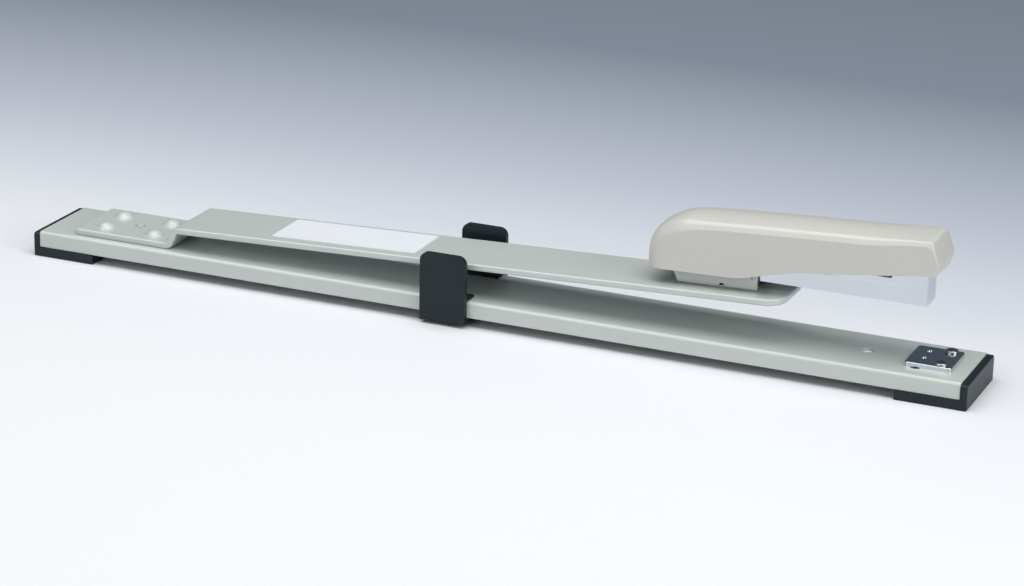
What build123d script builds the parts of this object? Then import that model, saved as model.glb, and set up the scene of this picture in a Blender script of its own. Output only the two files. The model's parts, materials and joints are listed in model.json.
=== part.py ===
"""Long-arm stapler: pressed-steel base, leaf-spring arm, pivoting stapling head and sliding paper guide.

Millimetres, +Z up. The origin is on the surface the stapler stands on, under the middle of the base.
+X runs along the base towards the anvil, and the stapler is symmetrical about the plane Y = 0.
"""
from math import atan, atan2, cos, degrees, radians, sin, tan
import os

from build123d import *

# ---- base: an inverted channel on two plastic caps ---------------------------------------------
LENGTH = 450.0
BASE_WIDTH = 41.8
BASE_TOP = 12.0
BASE_SHEET = 1.2
BASE_BEND = 1.6
FOOT_HEIGHT = 4.5
FOOT_LENGTH = 31.4
CAP_WALL = 3.1
CAP_TOP = 11.4
CAP_PROUD = 0.4
CAP_RIB = 3.0
CAP_RIB_LENGTH = 18.0
BENCH_HOLE_X = (-179.8, 175.0)
BENCH_HOLE_R = 2.5

# ---- arm: one strip of spring steel, riveted at the rear and cranked up clear of the base --------
ARM_WIDTH = 34.6
ARM_THICK = 3.0
ARM_REAR_X = -205.2
CRANK_X = (-156.8, -152.9)
ARM_TIP_X = 141.0
ARM_TIP_RADIUS = 9.0
ARM_FOOT_RADIUS = 1.6
ARM_BEND = (3.7, 0.7)
ARM_SLOPE = 0.0375
ARM_TOP_AT_CRANK = 22.9
ARM_SPLIT_GAP = 0.4
MOUNT_RIVET_X = (-193.2, -167.3)
MOUNT_RIVET_Y = 8.45
MOUNT_RIVET_R = 2.6
MOUNT_RIVET_HEAD = (4.5, 2.4)
MOUNT_RIVET_TAIL = (4.0, 1.4)
LABEL_X = (-104.7, -32.9)
LABEL_Y = (-12.2, 14.5)
LABEL_THICK = 0.2

# ---- anvil -------------------------------------------------------------------------------------
ANVIL_X = (194.2, 214.8)
ANVIL_WIDTH = 22.6
ANVIL_THICK = 2.0
ANVIL_CORNER = 1.5
ANVIL_EDGE = 0.5
CLINCH_X = 200.9
CLINCH_Y = 4.3
CLINCH_SIZE = (5.4, 1.9, 0.5)
SCREW_X = 209.6
SCREW_Y = 8.3
SCREW_R = 1.5
SCREW_HEAD = (2.9, 1.2)
SCREW_EDGE = 0.7
SCREW_CROSS = (3.6, 0.9, 0.8)
SCREW_TURN_DEG = 20.0
NUT_FLATS = 5.5
NUT_THICK = 2.4
BASE_SLOT_X = 199.2
BASE_SLOT = (25.0, 5.4)

# ---- paper guide, a saddle that slides along the base ----------------------------------------------
GUIDE_X = (-24.8, -2.9)
GUIDE_GAP = 0.6
GUIDE_WALL = 2.6
GUIDE_Z = (1.6, 33.2)
GUIDE_TOP_RADIUS = 3.8
GUIDE_BRIDGE_TOP = 4.1
GUIDE_LIP_Y = 13.2
GUIDE_LIP = 1.0
GUIDE_LIP_GAP = 0.05

# ---- head pivot and the bracket that carries it on the arm -----------------------------------------
PIVOT = (88.0, 46.5)
PIVOT_R = 2.0
RUNNING_GAP = 0.06
PIN_HEAD = (3.1, 0.8)
BRACKET_X = (91.4, 127.0)
BRACKET_HALF = 9.0
BRACKET_SHEET = 1.0
BRACKET_TOP = 44.0
BRACKET_EYE_R = 5.2
BRACKET_BEND = 1.5
BRACKET_REAR_SLANT = (-2.4, 5.0)
BRACKET_SHOULDER = 3.0
BRACKET_NOTCH = (111.0, 1.2)
BRACKET_RIVET_X = (98.0, 113.5)
BRACKET_RIVET_R = 2.0
BRACKET_RIVET_HEAD = (3.3, 1.2)

# ---- magazine and what it holds --------------------------------------------------------------------
MAG_HALF = 6.9
MAG_SHEET = 0.5
MAG_BOTTOM = 38.0
MAG_RIM = 45.4
MAG_NOSE = (201.4, 54.0)
MAG_NOSE_RADIUS = 1.3
MAG_STEP_X = (187.8, 192.9)
MAG_LINER_HALF = 6.65
MAG_LINER = ((141.0, 45.0), (143.0, 48.2), (185.2, 48.2), (188.6, 54.0), (194.0, 54.0), (194.0, 45.0))
MAG_FLOOR_X = 96.0
MAG_EYE_R = 5.6
DRIVER_SLOT = 1.45
STOP = (123.2, 38.8)
STOP_R = 1.1
STOP_EAR_X = (119.6, 127.4)
STOP_EAR_BOTTOM = 34.8
TILT_DEG = 4.0
CORE_X = (128.0, 199.3)
CORE_HALF = 5.65
CORE_SHEET = 0.8
CORE_TOP = 44.3
STAPLE_HALF = 6.3
STAPLE_WIRE = 0.5
STAPLE_Z = (38.9, 44.95)
STRIP_REAR_X = 187.7

# ---- pusher ----------------------------------------------------------------------------------------
PUSHER_X = (149.5, 187.5)
PUSHER_Z = (41.6, 47.6)
PUSHER_SHEET = 0.5
PUSHER_ROOF = 0.8
PUSHER_TONGUE = (6.5, 4.6, 39.6)
PUSHER_TAB = (1.5, 4.5, 52.0)
ROD_R = 0.9
ROD_Z = 42.0
PUSHER_SPRING = (1.9, 0.35, 24)

# ---- handle ----------------------------------------------------------------------------------------
COVER_HALF = 13.3
COVER_WALL = 1.9
COVER_EDGE_RADIUS = 3.2
COVER_REAR = (75.8, 44.5)
COVER_HEEL_TOP = (82.2, 57.5)
COVER_CROWN = (97.0, 63.1)
COVER_BROW = (203.5, 68.5)
COVER_CHIN = (207.4, 58.3)
COVER_LIP = (206.4, 53.8)
COVER_GRIP = (144.0, 46.1)
COVER_HEEL = (119.0, 39.6)
COVER_NOSE_RADIUS = 2.4
COVER_SKIRT = 30.0
COVER_HEEL_RADIUS = 6.0
COVER_GRIP_RADIUS = 30.0
COVER_RIB_X = (140.0, 184.0)
COVER_RIB = 1.6
COVER_RIB_FOOT = 52.5
FRAME_INNER = 7.1
FRAME_SHEET = 0.7
FRAME_EYE_R = 4.4
FRAME_LOWER = ((121.0, 46.4), (146.0, 50.4), (202.0, 57.5))
FRAME_WEB_EDGE = ((88.0, 51.5), (121.0, 54.0), (202.0, 62.0))
FRAME_ROOF = ((88.5, 56.6), (97.0, 59.1), (120.0, 61.8), (156.0, 64.2), (202.0, 65.3))
BLADE_LEAN_DEG = 2.2
BLADE_THICK = 0.6
BLADE_HALF = 6.1
BLADE_FOOT = (200.25, 46.2)
BLADE_TAB_X = 189.0
DRIVER_RIVET = (194.0, 3.2, 1.2)
HANDLE_SPRING_X = 102.0
HANDLE_SPRING = (3.6, 0.8, 7)

EPS = 1.0
WELL_CLEAR = 20.0


# ---- helpers ---------------------------------------------------------------------------------------
def box_between(x, y, z):
    """A box from its lowest to its highest X, Y and Z."""
    size = (x[1] - x[0], y[1] - y[0], z[1] - z[0])
    return Pos((x[0] + x[1]) / 2, (y[0] + y[1]) / 2, (z[0] + z[1]) / 2) * Box(*size)


def side_plate(outline, half):
    """A closed outline of (x, z) points, extruded from Y = -half to Y = +half."""
    wire = Polyline([Vector(x, -half, z) for x, z in outline], close=True)
    return extrude(make_face(wire), amount=2 * half, dir=(0, 1, 0))


def edges_at(solid, corners):
    """The edges along Y that pass through the given (x, z) corners of a side plate."""
    places = [Vector(x, 0, z) for x, z in corners]
    across = solid.edges().filter_by(Axis.Y)
    return across.filter_by(lambda e: min((e.center() - place).length for place in places) < 0.1)


def both_sides(solid):
    """The solid and its mirror image across the plane Y = 0."""
    return solid + mirror(solid, about=Plane.XZ)


def cross_bar(centre, radius, half):
    """A round bar along Y through an (x, z) centre."""
    return Pos(centre[0], 0, centre[1]) * Rot(90, 0, 0) * Cylinder(radius, 2 * half)


def upright(x, y, z_low, z_high, radius):
    """A round bar along Z between two heights."""
    return Pos(x, y, (z_low + z_high) / 2) * Cylinder(radius, z_high - z_low)


def dome(radius, rise):
    """A rivet head: the cap of a ball, standing on the plane Z = 0."""
    ball = (radius ** 2 + rise ** 2) / (2 * rise)
    return (Pos(0, 0, rise - ball) * Sphere(ball)) & (Pos(0, 0, rise / 2) * Cylinder(2 * radius, rise))


def coil(radius, wire, turns, height):
    """A compression spring standing on the plane Z = 0."""
    rise = height - wire
    path = Helix(pitch=rise / turns, height=rise, radius=radius - wire / 2)
    section = Plane(origin=path @ 0, z_dir=path % 0) * Circle(wire / 2)
    return Pos(0, 0, wire / 2) * sweep(section, path=path, is_frenet=True)


def arm_top(x):
    """Height of the arm's upper face."""
    return ARM_TOP_AT_CRANK + ARM_SLOPE * (x - CRANK_X[1])


def on_arm(x, y=0.0):
    """A place on the arm's upper face, with its Z axis square to the arm."""
    return Pos(x, y, arm_top(x)) * Rot(0, -degrees(atan(ARM_SLOPE)), 0)


# ---- base ------------------------------------------------------------------------------------------
def mount_rivets():
    """Four domed rivets that hold the arm's foot on the base."""
    head = Pos(0, 0, BASE_TOP + ARM_THICK) * dome(*MOUNT_RIVET_HEAD)
    under = BASE_TOP - BASE_SHEET
    shank = upright(0, 0, under, BASE_TOP + ARM_THICK, MOUNT_RIVET_R)
    tail = upright(0, 0, under - MOUNT_RIVET_TAIL[1], under, MOUNT_RIVET_TAIL[0])
    rivet = head + shank + tail
    return [Pos(x, y, 0) * rivet for x in MOUNT_RIVET_X for y in (-MOUNT_RIVET_Y, MOUNT_RIVET_Y)]


def anvil_screws():
    """Two pan-head machine screws with cross recesses."""
    seat = BASE_TOP + ANVIL_THICK
    head = upright(0, 0, seat, seat + SCREW_HEAD[1], SCREW_HEAD[0])
    head = fillet(head.edges().group_by(Axis.Z)[-1], SCREW_EDGE)
    shank = upright(0, 0, BASE_TOP - BASE_SHEET - NUT_THICK - SCREW_EDGE, seat, SCREW_R)
    span, slit, depth = SCREW_CROSS
    cross = extrude(Rectangle(span, slit) + Rectangle(slit, span), amount=2 * depth)
    screw = head + shank - Pos(0, 0, seat + SCREW_HEAD[1] - depth) * cross
    return [Pos(SCREW_X, -SCREW_Y, 0) * Rot(0, 0, SCREW_TURN_DEG) * screw, Pos(SCREW_X, SCREW_Y, 0) * screw]


def anvil_nuts():
    nut = extrude(RegularPolygon(NUT_FLATS / 2, 6, major_radius=False), amount=NUT_THICK)
    nut -= upright(0, 0, -EPS, NUT_THICK + EPS, SCREW_R)
    under = BASE_TOP - BASE_SHEET
    return [Pos(SCREW_X, y, under - NUT_THICK) * nut for y in (-SCREW_Y, SCREW_Y)]


def bench_holes():
    return [upright(x, 0, 0, 2 * BASE_TOP, BENCH_HOLE_R) for x in BENCH_HOLE_X]


def screw_holes():
    return [upright(SCREW_X, y, 0, 2 * BASE_TOP, SCREW_R) for y in (-SCREW_Y, SCREW_Y)]


def round_top_edges(block, radius):
    """Round the two upper edges that run along X."""
    return fillet(block.edges().filter_by(Axis.X).group_by(Axis.Z)[-1], radius)


def base_channel():
    half = BASE_WIDTH / 2
    end = LENGTH / 2 - CAP_WALL
    outside = round_top_edges(box_between((-end, end), (-half, half), (FOOT_HEIGHT, BASE_TOP)), BASE_BEND)
    inner = half - BASE_SHEET
    inside = box_between((-end - EPS, end + EPS), (-inner, inner), (0, BASE_TOP - BASE_SHEET))
    inside = round_top_edges(inside, BASE_BEND - BASE_SHEET)
    slot = extrude(SlotOverall(*BASE_SLOT), amount=BASE_TOP, both=True)
    slot = Pos(BASE_SLOT_X, 0, BASE_TOP) * Rot(0, 0, 90) * slot
    shanks = [rivet & box_between((-end, end), (-half, half), (0, BASE_TOP)) for rivet in mount_rivets()]
    return outside - inside - slot - bench_holes() - screw_holes() - shanks


def end_cap():
    """The cap at the anvil end: end wall, foot under the flanges and two ribs inside the channel."""
    half = BASE_WIDTH / 2 + CAP_PROUD
    end = LENGTH / 2
    wall = round_top_edges(box_between((end - CAP_WALL, end), (-half, half), (0, CAP_TOP)), BASE_BEND)
    cap = wall + box_between((end - FOOT_LENGTH, end - CAP_WALL), (-half, half), (0, FOOT_HEIGHT))
    cap = fillet(cap.edges().filter_by(Axis.Z).group_by(Axis.X)[-1], 0.8)
    rib_out = BASE_WIDTH / 2 - BASE_SHEET
    rib_x = (end - CAP_WALL - CAP_RIB_LENGTH, end - CAP_WALL)
    rib = box_between(rib_x, (rib_out - CAP_RIB, rib_out), (FOOT_HEIGHT, BASE_TOP - BASE_SHEET - 1))
    return cap + both_sides(rib)


def anvil_plate():
    half = ANVIL_WIDTH / 2
    top = BASE_TOP + ANVIL_THICK
    plate = box_between(ANVIL_X, (-half, half), (BASE_TOP, top))
    plate = fillet(plate.edges().filter_by(Axis.Z), ANVIL_CORNER)
    plate = fillet(plate.edges().group_by(Axis.Z)[-1], ANVIL_EDGE)
    length, width, depth = CLINCH_SIZE
    groove = Rot(0, 0, 90) * extrude(SlotOverall(length, width), amount=depth, both=True)
    grooves = [Pos(CLINCH_X, y, top) * groove for y in (-CLINCH_Y, CLINCH_Y)]
    return plate - grooves - screw_holes()


# ---- arm -------------------------------------------------------------------------------------------
def crank_angle():
    """Slope of the crank that lifts the arm, in radians."""
    return atan2(ARM_TOP_AT_CRANK - BASE_TOP - ARM_THICK, CRANK_X[1] - CRANK_X[0])


def crank_centre():
    """The middle of the crank, where the strip's bending is gathered into one hinge."""
    lead = ARM_THICK * tan(crank_angle() / 2)
    x = (sum(CRANK_X) + lead) / 2
    z = (BASE_TOP + ARM_TOP_AT_CRANK) / 2
    return x, z


def arm_strip():
    """The whole strip, from its riveted foot to its rounded tip."""
    lead = ARM_THICK * tan(crank_angle() / 2)
    foot_x, bend_x = CRANK_X
    outline = [
        (ARM_REAR_X, BASE_TOP),
        (foot_x + lead, BASE_TOP),
        (bend_x + lead, arm_top(bend_x + lead) - ARM_THICK),
        (ARM_TIP_X, arm_top(ARM_TIP_X) - ARM_THICK),
        (ARM_TIP_X, arm_top(ARM_TIP_X)),
        (bend_x, arm_top(bend_x)),
        (foot_x, BASE_TOP + ARM_THICK),
        (ARM_REAR_X, BASE_TOP + ARM_THICK),
    ]
    strip = side_plate(outline, ARM_WIDTH / 2)
    strip = fillet(edges_at(strip, [outline[1], outline[5]]), ARM_BEND[0])
    strip = fillet(edges_at(strip, [outline[2], outline[6]]), ARM_BEND[1])
    tip = strip.edges().group_by(Axis.X)[-1].filter_by(lambda e: abs(e.center().Y) > ARM_WIDTH / 2 - 1)
    strip = fillet(tip, ARM_TIP_RADIUS)
    rear = strip.edges().filter_by(Axis.Z).group_by(Axis.X)[0]
    return fillet(rear, ARM_FOOT_RADIUS)


def crank_side(sign):
    """Everything on one side of the crank's middle: -1 towards the foot, +1 towards the tip."""
    x, z = crank_centre()
    lean = 90 - degrees(crank_angle())
    reach = 2 * LENGTH
    block = Pos(0, 0, sign * (reach + ARM_SPLIT_GAP) / 2) * Box(reach, reach, reach)
    return Pos(x, 0, z) * Rot(0, lean, 0) * block


def arm_mount_plate():
    """The strip's foot, up to the middle of the crank."""
    return (arm_strip() & crank_side(-1)) - mount_rivets() - bench_holes()


def bracket_rivets():
    """Two rivets, domed on the bracket's floor and flush under the arm."""
    head = Pos(0, 0, BRACKET_SHEET) * dome(*BRACKET_RIVET_HEAD)
    shank = upright(0, 0, -ARM_THICK, BRACKET_SHEET, BRACKET_RIVET_R)
    return [on_arm(x) * (head + shank) for x in BRACKET_RIVET_X]


def arm():
    """The strip beyond the middle of the crank."""
    return (arm_strip() & crank_side(1)) - bracket_rivets()


def spec_label():
    x = sum(LABEL_X) / 2
    y = sum(LABEL_Y) / 2
    label = extrude(Rectangle(LABEL_X[1] - LABEL_X[0], LABEL_Y[1] - LABEL_Y[0]), amount=LABEL_THICK)
    return on_arm(x, y) * fillet(label.edges().filter_by(Axis.Z), 1.0)


def head_bracket():
    """A folded channel on the arm, whose side walls carry the pivot pin and the stop pin."""
    low, high = BRACKET_X
    inner = BRACKET_HALF - BRACKET_SHEET
    slant_x, slant_z = BRACKET_REAR_SLANT
    near = 0.7 * BRACKET_EYE_R
    outline = [
        (low, arm_top(low)),
        (high, arm_top(high)),
        (high, BRACKET_TOP),
        (PIVOT[0] + BRACKET_EYE_R, BRACKET_TOP + BRACKET_SHOULDER),
        (PIVOT[0] + near, PIVOT[1] + near),
        (PIVOT[0] - near, PIVOT[1] - near),
        (low + slant_x, arm_top(low) + slant_z),
    ]
    block = side_plate(outline, BRACKET_HALF)
    foot_z = arm_top(high) + EPS
    bends = block.edges().filter_by(lambda e: e.length > (high - low) / 2 and e.center().Z < foot_z)
    block = fillet(bends, BRACKET_BEND)
    block += cross_bar(PIVOT, BRACKET_EYE_R, BRACKET_HALF)
    hollow = [
        (low - WELL_CLEAR, arm_top(low - WELL_CLEAR) + BRACKET_SHEET),
        (high + WELL_CLEAR, arm_top(high + WELL_CLEAR) + BRACKET_SHEET),
        (high + WELL_CLEAR, 2 * BRACKET_TOP),
        (low - WELL_CLEAR, 2 * BRACKET_TOP),
    ]
    notch_x, notch_r = BRACKET_NOTCH
    notch = cross_bar((notch_x, arm_top(notch_x) + notch_r), notch_r, BRACKET_HALF + EPS)
    notch -= cross_bar((notch_x, arm_top(notch_x) + notch_r), notch_r + EPS, inner)
    return block - side_plate(hollow, inner) - notch - pivot_pin() - stop_pin() - bracket_rivets()


def headed_pin(centre, radius, head_radius):
    """A pin along Y, riveted over outside the bracket's walls."""
    half = BRACKET_HALF + PIN_HEAD[1]
    pin = cross_bar(centre, radius, half)
    head = cross_bar(centre, head_radius, half) - cross_bar(centre, head_radius + EPS, BRACKET_HALF)
    return pin + head


def pivot_pin():
    return headed_pin(PIVOT, PIVOT_R, PIN_HEAD[0])


def stop_pin():
    return headed_pin(STOP, STOP_R, STOP_R + 0.3)


# ---- magazine --------------------------------------------------------------------------------------
def turned(point, degrees_up):
    """An (x, z) point turned about the pivot, nose up."""
    angle = radians(degrees_up)
    x, z = point[0] - PIVOT[0], point[1] - PIVOT[1]
    return PIVOT[0] + x * cos(angle) - z * sin(angle), PIVOT[1] + x * sin(angle) + z * cos(angle)


def magazine_channel():
    """A folded channel with a taller liner: eyes on the pivot at the rear, closed nose at the front."""
    nose_x, nose_z = MAG_NOSE
    ear_low, ear_high = STOP_EAR_X
    outline = [
        (MAG_FLOOR_X, MAG_BOTTOM),
        (ear_low, MAG_BOTTOM),
        (ear_low + 1, STOP_EAR_BOTTOM),
        (ear_high - 1, STOP_EAR_BOTTOM),
        (ear_high, MAG_BOTTOM),
        (nose_x, MAG_BOTTOM),
        (nose_x, nose_z),
        (MAG_STEP_X[1], nose_z),
        (MAG_STEP_X[0], MAG_RIM),
        (PIVOT[0] + MAG_EYE_R + 3, MAG_RIM),
        (PIVOT[0] + 2, PIVOT[1] + MAG_EYE_R - 0.5),
        (PIVOT[0] - 2, PIVOT[1] - MAG_EYE_R + 0.5),
    ]
    block = side_plate(outline, MAG_HALF)
    corners = block.edges().filter_by(Axis.Z).group_by(Axis.X)[-1]
    block = fillet(corners, MAG_NOSE_RADIUS) + cross_bar(PIVOT, MAG_EYE_R, MAG_HALF)
    block += side_plate(MAG_LINER, MAG_LINER_HALF)
    inner = MAG_HALF - MAG_SHEET
    floor = MAG_BOTTOM + MAG_SHEET
    nose_in = nose_x - MAG_SHEET
    block -= box_between((0, nose_in), (-inner, inner), (floor, 2 * nose_z))
    block -= box_between((0, MAG_FLOOR_X), (-inner, inner), (0, 2 * nose_z))
    block -= box_between(STOP_EAR_X, (-inner, inner), (0, 2 * nose_z))
    block -= box_between((nose_in - DRIVER_SLOT, nose_in), (-inner, inner), (0, 2 * nose_z))
    block -= cross_bar(PIVOT, PIVOT_R + RUNNING_GAP, MAG_HALF + EPS)
    low_end = turned(STOP, -TILT_DEG)
    bar = STOP_R + RUNNING_GAP
    block -= cross_bar(STOP, bar, MAG_HALF + EPS)
    block -= cross_bar(low_end, bar, MAG_HALF + EPS)
    slot = [(STOP[0] - bar, STOP[1]), (STOP[0] + bar, STOP[1])]
    slot += [(low_end[0] + bar, low_end[1]), (low_end[0] - bar, low_end[1])]
    return block - side_plate(slot, MAG_HALF + EPS)


def pusher_rod():
    length = CORE_X[1] - CORE_X[0] - 0.1
    return Pos(CORE_X[0], 0, ROD_Z) * Rot(0, 90, 0) * extrude(Circle(ROD_R), amount=length)


def staple_core():
    """The rail inside the magazine that the staples straddle, with a tab at each end for the rod."""
    floor = MAG_BOTTOM + MAG_SHEET
    core = box_between(CORE_X, (-CORE_HALF, CORE_HALF), (floor, CORE_TOP))
    inner = CORE_HALF - CORE_SHEET
    bay = (CORE_X[0] + CORE_SHEET, CORE_X[1] - CORE_SHEET)
    return core - box_between(bay, (-inner, inner), (floor + CORE_SHEET, CORE_TOP + EPS)) - pusher_rod()


def staple_strip():
    """A part-used strip of staples, legs down over the rail."""
    low, high = STAPLE_Z
    x = (STRIP_REAR_X, CORE_X[1])
    inner = STAPLE_HALF - STAPLE_WIRE
    strip = box_between(x, (-STAPLE_HALF, STAPLE_HALF), (low, high))
    return strip - box_between((x[0] - EPS, x[1] + EPS), (-inner, inner), (0, high - STAPLE_WIRE))


def staple_pusher():
    """A folded saddle over the rail, with a tongue on the rod and a finger tab above."""
    low, high = PUSHER_Z
    rear, front = PUSHER_X
    inner = STAPLE_HALF - PUSHER_SHEET
    saddle = box_between(PUSHER_X, (-STAPLE_HALF, STAPLE_HALF), (low, high))
    saddle -= box_between((rear - EPS, front + EPS), (-inner, inner), (0, high - PUSHER_ROOF))
    length, half, bottom = PUSHER_TONGUE
    tongue = box_between((front - length, front), (-half, half), (bottom, high))
    thick, tab_half, top = PUSHER_TAB
    tab = box_between((front - thick, front), (-tab_half, tab_half), (high, top))
    tab = fillet(tab.edges().filter_by(Axis.X).group_by(Axis.Z)[-1], 2.0)
    hole = Pos(rear, 0, ROD_Z) * Rot(0, 90, 0) * extrude(Circle(ROD_R + RUNNING_GAP), amount=LENGTH)
    return saddle + tongue + tab - hole


def pusher_spring():
    start = CORE_X[0] + CORE_SHEET
    end = PUSHER_X[1] - PUSHER_TONGUE[0]
    return Pos(start, 0, ROD_Z) * Rot(0, 90, 0) * coil(*PUSHER_SPRING, end - start)


# ---- handle ----------------------------------------------------------------------------------------
def cover_blank_outline():
    """The cover from the side, carried on straight down past its open underside."""
    rear = TangentArc([COVER_REAR, COVER_HEEL_TOP], tangent=(0, 1))
    crown = TangentArc([COVER_HEEL_TOP, COVER_CROWN], tangent=rear % 1)
    roof = TangentArc([COVER_CROWN, COVER_BROW], tangent=crown % 1)
    skirt = [(COVER_LIP[0], COVER_SKIRT), (COVER_REAR[0], COVER_SKIRT)]
    front = Polyline([COVER_BROW, COVER_CHIN, COVER_LIP, *skirt, COVER_REAR])
    face = make_face([rear, crown, roof, *front.edges()])
    nose = face.vertices().filter_by(lambda v: (v.X, v.Y) in (COVER_BROW, COVER_CHIN))
    return fillet(nose, COVER_NOSE_RADIUS)


def cover_underside():
    """Everything below the cover's lower edge, seen from the side."""
    corner = (COVER_REAR[0] + COVER_HEEL_RADIUS, COVER_REAR[1] - COVER_HEEL_RADIUS)
    rear = TangentArc([COVER_REAR, corner], tangent=(0, -1))
    left = COVER_REAR[0] - WELL_CLEAR
    right = COVER_LIP[0] + WELL_CLEAR
    rest = Polyline([
        corner, COVER_HEEL, COVER_GRIP, COVER_LIP, (right, COVER_LIP[1]), (right, 0), (left, 0),
        (left, COVER_REAR[1]), COVER_REAR,
    ])
    face = make_face([rear, *rest.edges()])
    bends = face.vertices().filter_by(lambda v: (v.X, v.Y) in (COVER_HEEL, COVER_GRIP))
    return fillet(bends, COVER_GRIP_RADIUS)


def slab(outline, half):
    """A face in the side view, extruded from Y = -half to Y = +half."""
    return Plane.XZ * extrude(outline, amount=half, both=True)


def frame_blank():
    """The handle frame as a solid block, before it is hollowed into a channel."""
    outline = [
        (PIVOT[0], PIVOT[1] - FRAME_EYE_R),
        *FRAME_LOWER,
        *reversed(FRAME_ROOF),
        (PIVOT[0] - FRAME_EYE_R, PIVOT[1] + 0.7 * FRAME_EYE_R),
        (PIVOT[0] - FRAME_EYE_R, PIVOT[1]),
    ]
    half = FRAME_INNER + FRAME_SHEET
    return side_plate(outline, half) + cross_bar(PIVOT, FRAME_EYE_R, half)


def handle_frame():
    """A steel channel inside the cover that straddles the magazine and carries the driver."""
    between_walls = box_between((0, LENGTH), (-FRAME_INNER, FRAME_INNER), (0, LENGTH))
    under_web = Pos(0, 0, -FRAME_SHEET) * frame_blank() & between_walls
    rear, front = FRAME_WEB_EDGE[0], FRAME_WEB_EDGE[-1]
    below = [(0, 0), (front[0] + EPS, 0), (front[0] + EPS, front[1]), *reversed(FRAME_WEB_EDGE), (0, rear[1])]
    channel = frame_blank() - under_web - side_plate(below, FRAME_INNER)
    return channel - cross_bar(PIVOT, PIVOT_R + RUNNING_GAP, BRACKET_HALF) - driver_rivets()


def web_underside(x):
    """Height of the underside of the frame's web."""
    for (x0, z0), (x1, z1) in zip(FRAME_ROOF, FRAME_ROOF[1:]):
        if x <= x1:
            return z0 + (z1 - z0) * (x - x0) / (x1 - x0) - FRAME_SHEET
    return FRAME_ROOF[-1][1] - FRAME_SHEET


def driver_blade():
    """A hardened blade that leans back a little at rest, so that it stands square in mid-stroke."""
    foot_x, foot_z = BLADE_FOOT
    tall = web_underside(foot_x) - foot_z - 0.1
    blade = Pos(0, 0, tall / 2) * Box(BLADE_THICK, 2 * BLADE_HALF, tall)
    blade = Pos(foot_x, 0, foot_z) * Rot(0, -BLADE_LEAN_DEG, 0) * blade
    front = foot_x - tall * tan(radians(BLADE_LEAN_DEG))
    outline = [
        (BLADE_TAB_X, web_underside(BLADE_TAB_X) - BLADE_THICK),
        (front, web_underside(front) - BLADE_THICK),
        (front, web_underside(front)),
        (BLADE_TAB_X, web_underside(BLADE_TAB_X)),
    ]
    return blade + side_plate(outline, BLADE_HALF) - driver_rivets()


def driver_rivets():
    """Two small rivets through the blade's tab and the frame's web."""
    x, y, radius = DRIVER_RIVET
    low = web_underside(x) - BLADE_THICK
    high = low + BLADE_THICK + FRAME_SHEET
    shank = upright(0, 0, low - 0.5, high + 0.1, radius)
    head = Pos(0, 0, high + 0.1) * dome(2 * radius, 0.7)
    return [Pos(x, side, 0) * (shank + head) for side in (-y, y)]


def handle_cover():
    """A moulded shell, open underneath, with two pairs of ribs that grip the frame."""
    outline = cover_blank_outline()
    shell = slab(outline, COVER_HALF)
    sides = shell.edges().filter_by(lambda e: abs(e.center().Y) > COVER_HALF - 0.01)
    shell = fillet(sides.filter_by(lambda e: e.center().Z > COVER_SKIRT + EPS), COVER_EDGE_RADIUS)
    shell -= slab(cover_underside(), COVER_HALF + EPS)
    hollow = slab(offset(outline, amount=-COVER_WALL, kind=Kind.INTERSECTION), COVER_HALF - COVER_WALL)
    grip = FRAME_INNER + FRAME_SHEET
    rib_z = (COVER_RIB_FOOT, COVER_BROW[1])
    rib = box_between((-COVER_RIB / 2, COVER_RIB / 2), (grip, COVER_HALF - EPS), rib_z)
    ribs = [Pos(x, 0, 0) * both_sides(rib) for x in COVER_RIB_X]
    return (shell - hollow) + ((Part() + ribs) & shell)


def handle_spring():
    floor = MAG_BOTTOM + MAG_SHEET
    height = web_underside(HANDLE_SPRING_X - HANDLE_SPRING[0]) - floor
    return Pos(HANDLE_SPRING_X, 0, floor) * coil(*HANDLE_SPRING, height)


# ---- paper guide -----------------------------------------------------------------------------------
def paper_guide():
    inner = BASE_WIDTH / 2 + GUIDE_GAP
    outer = inner + GUIDE_WALL
    low, high = GUIDE_Z
    wall = box_between(GUIDE_X, (inner, outer), (low, high))
    wall = fillet(wall.edges().filter_by(Axis.Y).group_by(Axis.Z)[-1], GUIDE_TOP_RADIUS)
    wall = fillet(wall.edges().filter_by(Axis.Y).group_by(Axis.Z)[0], 1.0)
    lip_z = BASE_TOP + GUIDE_LIP_GAP
    lip = box_between(GUIDE_X, (GUIDE_LIP_Y, inner), (lip_z, lip_z + GUIDE_LIP))
    bridge = box_between(GUIDE_X, (0, inner), (low, GUIDE_BRIDGE_TOP))
    return both_sides(wall + lip + bridge)


# ---- write every sub-part --------------------------------------------------------------------------
def main():
    front_cap = end_cap()
    nodes = {
        "base_channel": base_channel(),
        "front_end_cap": front_cap,
        "rear_end_cap": mirror(front_cap, about=Plane.YZ),
        "anvil_plate": anvil_plate(),
        "anvil_screws": anvil_screws(),
        "anvil_nuts": anvil_nuts(),
        "arm_mount_plate": arm_mount_plate(),
        "arm_rivets": mount_rivets(),
        "paper_guide": paper_guide(),
        "arm": arm(),
        "spec_label": spec_label(),
        "head_bracket": head_bracket(),
        "bracket_rivets": bracket_rivets(),
        "pivot_pin": pivot_pin(),
        "stop_pin": stop_pin(),
        "magazine_channel": magazine_channel(),
        "staple_core": staple_core(),
        "pusher_rod": pusher_rod(),
        "staple_strip": staple_strip(),
        "staple_pusher": staple_pusher(),
        "pusher_spring": pusher_spring(),
        "handle_cover": handle_cover(),
        "handle_frame": handle_frame(),
        "driver_blade": driver_blade(),
        "driver_rivets": driver_rivets(),
        "handle_spring": handle_spring(),
    }
    os.makedirs("parts", exist_ok=True)
    for name, shape in nodes.items():
        whole = Compound(children=shape) if isinstance(shape, list) else shape
        export_step(whole, f"parts/{name}.step")
    print("arm hinge (x, z):", crank_centre())


main()
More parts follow.
